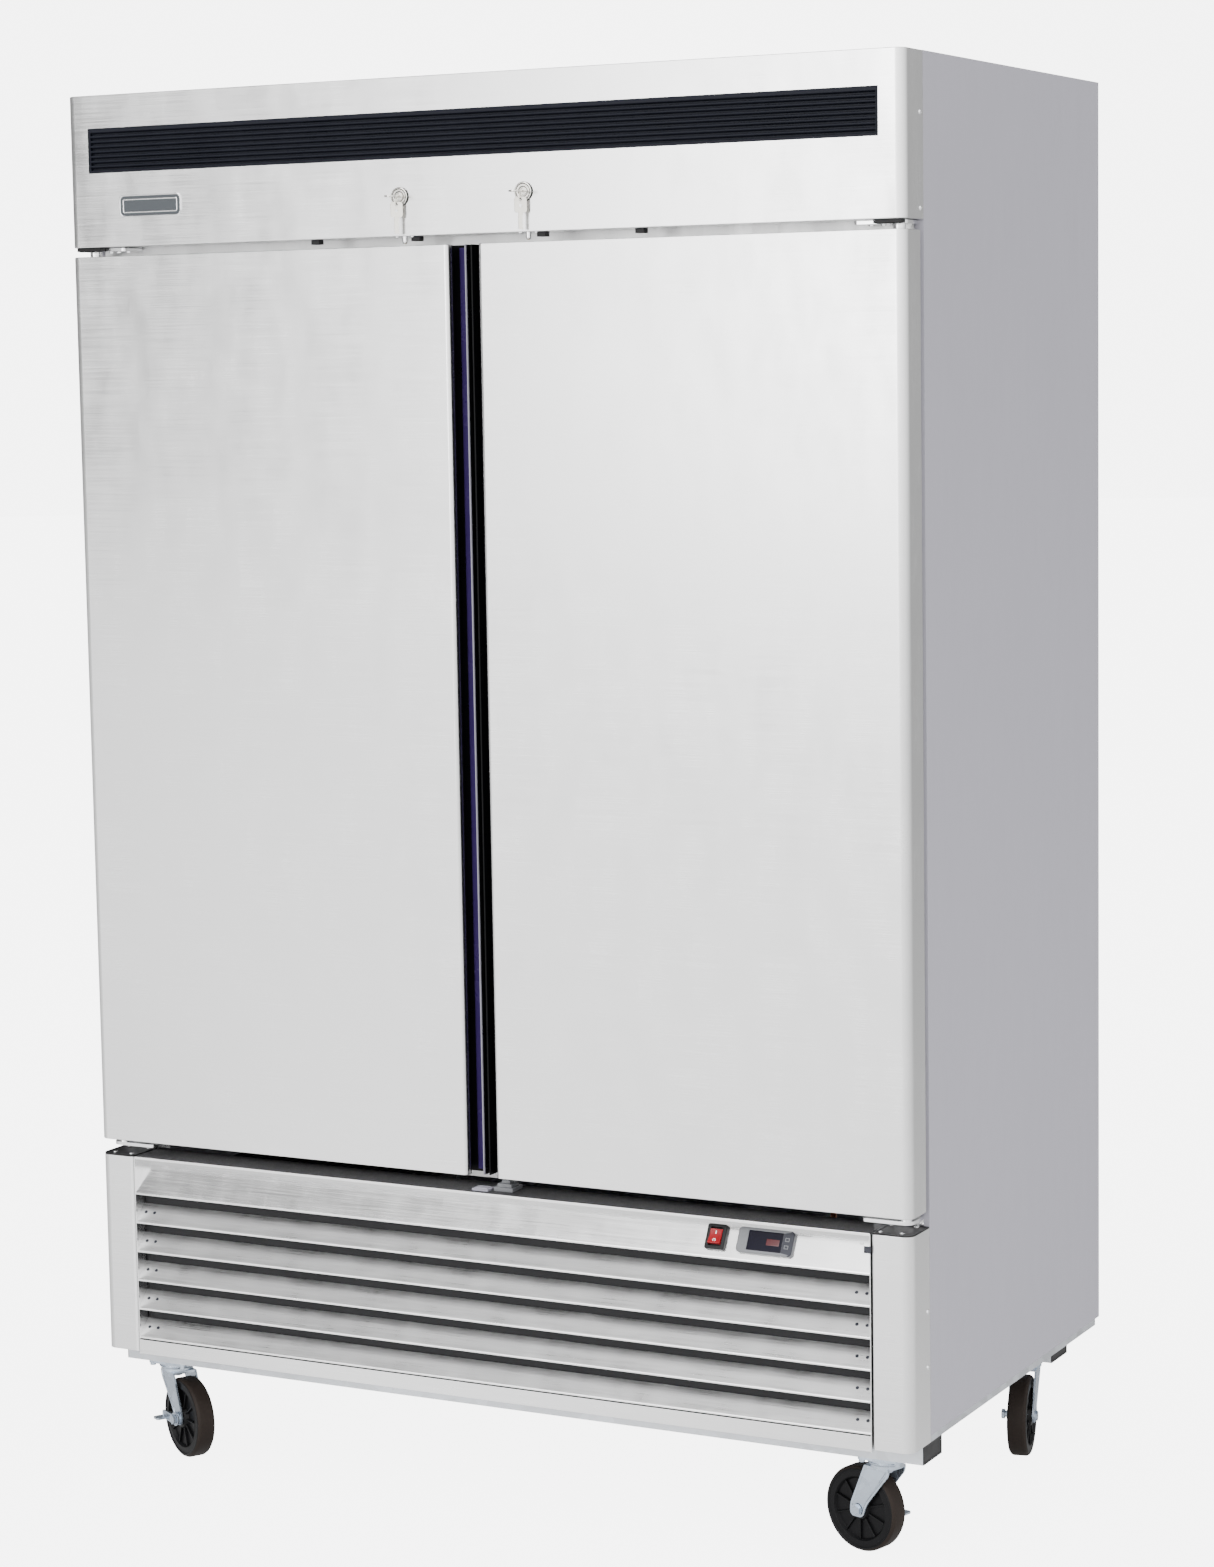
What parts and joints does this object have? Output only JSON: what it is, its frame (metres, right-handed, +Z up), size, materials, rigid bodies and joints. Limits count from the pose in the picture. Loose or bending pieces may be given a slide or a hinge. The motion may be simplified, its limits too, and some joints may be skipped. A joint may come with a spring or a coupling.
{
  "type": "reach-in refrigerator",
  "caption": "Upright reach-in refrigerator with hinged doors, wire shelves, a louvred machine bay below and swivel casters.",
  "frame": {"origin": "on the floor under the middle of the object's footprint", "axes": "+Z up, -Y towards the front (doors), +X to the right of a person facing the doors"},
  "size_m": [1.3844, 0.812, 2.139],
  "materials": {
    "stainless": "satin",
    "side_sheet": "satin",
    "galvanised": "satin",
    "liner": "satin",
    "door_panel": "satin",
    "foam": "matte",
    "gasket": "matte",
    "grip_black": "satin",
    "badge": "gloss",
    "bright_steel": "satin",
    "lock_metal": "gloss",
    "control_grey": "matte",
    "black_plastic": "matte",
    "switch_red": "gloss",
    "compressor_black": "gloss",
    "coil": "satin",
    "shelf_coat": "satin",
    "zinc": "satin",
    "wheel_tread": "matte"
  },
  "bodies": {
    "cabinet": {"back_panel": "galvanised", "badge_plate": "badge", "cabinet_foam": "foam", "caster_channels": "galvanised", "caster_plates": "zinc", "compressor": "compressor_black", "condenser_coil": "coil", "controller_case": "control_grey", "cord_gland": "black_plastic", "corner_posts": "stainless", "cover_screws": "bright_steel", "evaporator_coil": "coil", "evaporator_cover": "liner", "face_frame": "stainless", "fan_shroud": "galvanised", "header_cover": "stainless", "header_grille": "grip_black", "hinge_brackets": "bright_steel", "inner_liner": "liner", "lock_barrels": "lock_metal", "louvre_frame": "stainless", "louvre_slats": "stainless", "machine_bay_panels": "galvanised", "post_caps": "grip_black", "rear_grille": "galvanised", "shelf_supports": "bright_steel", "side_panel_left": "side_sheet", "side_panel_right": "side_sheet", "switch_housing": "black_plastic", "top_panel": "side_sheet", "wire_shelves": "shelf_coat"},
    "door_left": {"door_skin_left": "stainless", "door_foam_left": "foam", "door_inner_panel_left": "door_panel", "door_gasket_left": "gasket", "door_grip_left": "grip_black"},
    "door_right": {"door_skin_right": "stainless", "door_foam_right": "foam", "door_inner_panel_right": "door_panel", "door_gasket_right": "gasket", "door_grip_right": "grip_black"},
    "lock_key_left": {"lock_key_left": "lock_metal"},
    "lock_bolt_left": {"lock_bolt_left": "lock_metal"},
    "spare_key_left": {"spare_key_left": "lock_metal"},
    "lock_key_right": {"lock_key_right": "lock_metal"},
    "lock_bolt_right": {"lock_bolt_right": "lock_metal"},
    "spare_key_right": {"spare_key_right": "lock_metal"},
    "switch_rocker": {"switch_rocker": "switch_red"},
    "evaporator_fan": {"evaporator_fan": "black_plastic"},
    "condenser_fan": {"condenser_fan": "black_plastic"},
    "caster_fork_front_left": {"caster_fork_front_left": "zinc"},
    "caster_wheel_front_left": {"caster_wheel_front_left": "wheel_tread"},
    "brake_lever_left": {"brake_lever_left": "zinc"},
    "caster_fork_front_right": {"caster_fork_front_right": "zinc"},
    "caster_wheel_front_right": {"caster_wheel_front_right": "wheel_tread"},
    "brake_lever_right": {"brake_lever_right": "zinc"},
    "caster_fork_rear_left": {"caster_fork_rear_left": "zinc"},
    "caster_wheel_rear_left": {"caster_wheel_rear_left": "wheel_tread"},
    "caster_fork_rear_right": {"caster_fork_rear_right": "zinc"},
    "caster_wheel_rear_right": {"caster_wheel_rear_right": "wheel_tread"}
  },
  "joints": [
    {"name": "door_left_hinge", "type": "hinge", "parent": "cabinet", "child": "door_left", "pos_m": [-0.669, -0.335, 0.519], "axis": [0, 0, -1], "range_deg": [0, 120], "stiffness_Nm_per_rad": 3, "springref_deg": -20.05},
    {"name": "door_right_hinge", "type": "hinge", "parent": "cabinet", "child": "door_right", "pos_m": [0.669, -0.335, 0.519], "axis": [0, 0, 1], "range_deg": [0, 120], "stiffness_Nm_per_rad": 3, "springref_deg": -20.05},
    {"name": "lock_key_left_turn", "type": "hinge", "parent": "cabinet", "child": "lock_key_left", "pos_m": [-0.103, -0.37, 1.967], "axis": [0, 1, 0], "range_deg": [0, 90]},
    {"name": "lock_bolt_left_slide", "type": "slide", "parent": "cabinet", "child": "lock_bolt_left", "axis": [0, 0, -1], "range_m": [0, 0.012]},
    {"name": "spare_key_left_swing", "type": "hinge", "parent": "cabinet", "child": "spare_key_left", "pos_m": [-0.103, -0.38075, 1.967], "axis": [0, 1, 0], "range_deg": [-60, 60]},
    {"name": "lock_key_right_turn", "type": "hinge", "parent": "cabinet", "child": "lock_key_right", "pos_m": [0.103, -0.37, 1.967], "axis": [0, 1, 0], "range_deg": [0, 90]},
    {"name": "lock_bolt_right_slide", "type": "slide", "parent": "cabinet", "child": "lock_bolt_right", "axis": [0, 0, -1], "range_m": [0, 0.012]},
    {"name": "spare_key_right_swing", "type": "hinge", "parent": "cabinet", "child": "spare_key_right", "pos_m": [0.103, -0.38075, 1.967], "axis": [0, 1, 0], "range_deg": [-60, 60]},
    {"name": "switch_rocker_tilt", "type": "hinge", "parent": "cabinet", "child": "switch_rocker", "pos_m": [0.3825, -0.35642, 0.462], "axis": [1, 0, 0], "range_deg": [0, 16]},
    {"name": "evaporator_fan_spin", "type": "hinge", "parent": "cabinet", "child": "evaporator_fan", "pos_m": [0, -0.09, 1.894], "axis": [0, 0, 1], "continuous": true},
    {"name": "condenser_fan_spin", "type": "hinge", "parent": "cabinet", "child": "condenser_fan", "pos_m": [-0.33, -0.186, 0.34], "axis": [0, 1, 0], "continuous": true},
    {"name": "caster_front_left_swivel", "type": "hinge", "parent": "cabinet", "child": "caster_fork_front_left", "pos_m": [-0.616, -0.286, 0.138], "axis": [0, 0, 1], "continuous": true},
    {"name": "caster_front_left_roll", "type": "hinge", "parent": "caster_fork_front_left", "child": "caster_wheel_front_left", "pos_m": [-0.58136, -0.306, 0.0635], "axis": [0.5, 0.866, 0], "continuous": true},
    {"name": "brake_lever_left_press", "type": "hinge", "parent": "caster_fork_front_left", "child": "brake_lever_left", "pos_m": [-0.58136, -0.306, 0.0635], "axis": [-0.5, -0.866, 0], "range_deg": [0, 20]},
    {"name": "caster_front_right_swivel", "type": "hinge", "parent": "cabinet", "child": "caster_fork_front_right", "pos_m": [0.616, -0.286, 0.138], "axis": [0, 0, 1], "continuous": true},
    {"name": "caster_front_right_roll", "type": "hinge", "parent": "caster_fork_front_right", "child": "caster_wheel_front_right", "pos_m": [0.57736, -0.27565, 0.0635], "axis": [-0.2588, -0.9659, 0], "continuous": true},
    {"name": "brake_lever_right_press", "type": "hinge", "parent": "caster_fork_front_right", "child": "brake_lever_right", "pos_m": [0.57736, -0.27565, 0.0635], "axis": [0.2588, 0.9659, 0], "range_deg": [0, 20]},
    {"name": "caster_rear_left_swivel", "type": "hinge", "parent": "cabinet", "child": "caster_fork_rear_left", "pos_m": [-0.612, 0.285, 0.138], "axis": [0, 0, 1], "continuous": true},
    {"name": "caster_rear_left_roll", "type": "hinge", "parent": "caster_fork_rear_left", "child": "caster_wheel_rear_left", "pos_m": [-0.59322, 0.24968, 0.0635], "axis": [0.8829, 0.4695, 0], "continuous": true},
    {"name": "caster_rear_right_swivel", "type": "hinge", "parent": "cabinet", "child": "caster_fork_rear_right", "pos_m": [0.612, 0.285, 0.138], "axis": [0, 0, 1], "continuous": true},
    {"name": "caster_rear_right_roll", "type": "hinge", "parent": "caster_fork_rear_right", "child": "caster_wheel_rear_right", "pos_m": [0.62032, 0.24587, 0.0635], "axis": [0.9781, 0.2079, 0], "continuous": true}
  ],
  "couplings": [
    {"joint": "lock_key_left_turn", "follows": "lock_bolt_left_slide", "rad_per_m": 130.8},
    {"joint": "lock_key_right_turn", "follows": "lock_bolt_right_slide", "rad_per_m": 130.8}
  ]
}
